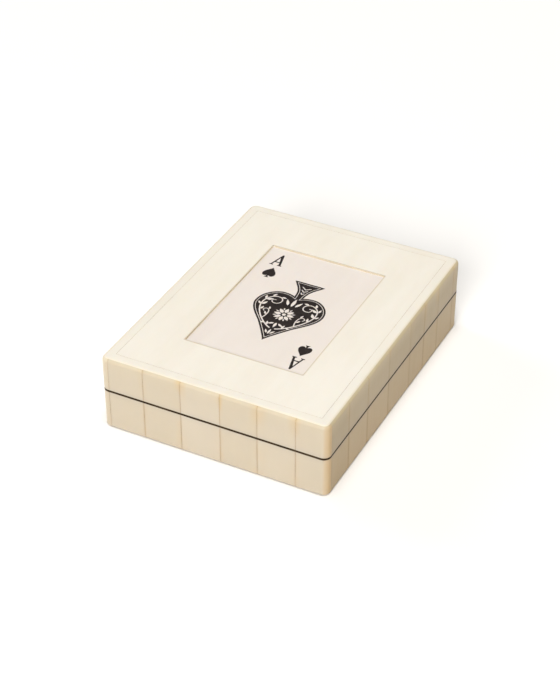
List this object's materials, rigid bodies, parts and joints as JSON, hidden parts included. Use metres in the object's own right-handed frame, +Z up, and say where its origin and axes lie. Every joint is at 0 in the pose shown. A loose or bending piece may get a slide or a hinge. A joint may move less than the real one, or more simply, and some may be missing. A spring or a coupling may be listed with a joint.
{
  "type": "playing card box",
  "caption": "Rectangular box for two decks of playing cards, clad in bone tiles, with a lift-off lid that carries an inlaid ace of spades card and a black seam line.",
  "frame": {"origin": "bottom centre of the box, on the surface that it stands on", "axes": "+Z up, the way the lid lifts; +Y along the long sides to the back; +X across to the right side"},
  "size_m": [0.115, 0.15, 0.039],
  "materials": {
    "side_tiles": "polished bone tiles, warm ivory, with brown glue lines",
    "border": "polished bone strips, rounded outside",
    "top_panel": "polished bone panel, pale cream",
    "card": "polished card plate, inked in black",
    "seam": "black dyed stringing, satin",
    "carcass": "plain oiled hardwood",
    "lining_wood": "satin hardwood strips",
    "felt": "dark green wool felt"
  },
  "bodies": {
    "base": {"base_tiles_front": "side_tiles", "seam_strip_front": "seam", "base_wall_front": "carcass", "liner_front": "lining_wood", "base_tiles_right": "side_tiles", "seam_strip_right": "seam", "base_wall_right": "carcass", "liner_right": "lining_wood", "base_tiles_back": "side_tiles", "seam_strip_back": "seam", "base_wall_back": "carcass", "liner_back": "lining_wood", "base_tiles_left": "side_tiles", "seam_strip_left": "seam", "base_wall_left": "carcass", "liner_left": "lining_wood", "base_bottom_board": "carcass", "well_divider": "lining_wood", "well_felt_front": "felt", "well_felt_back": "felt", "underside_felt": "felt"},
    "lid": {"lid_wall_front": "carcass", "lid_wall_right": "carcass", "lid_wall_back": "carcass", "lid_wall_left": "carcass", "lid_board": "carcass", "lid_lining": "felt", "lid_tiles_front": "side_tiles", "lid_tiles_right": "side_tiles", "lid_tiles_back": "side_tiles", "lid_tiles_left": "side_tiles", "border_strip_front": "border", "border_strip_right": "border", "border_strip_back": "border", "border_strip_left": "border", "top_panel": "top_panel", "card_panel": "card"}
  },
  "joints": [
    {"name": "lid_lift", "type": "slide", "parent": "base", "child": "lid", "axis": [0, 0, 1], "range_m": [0, 0.06]}
  ]
}
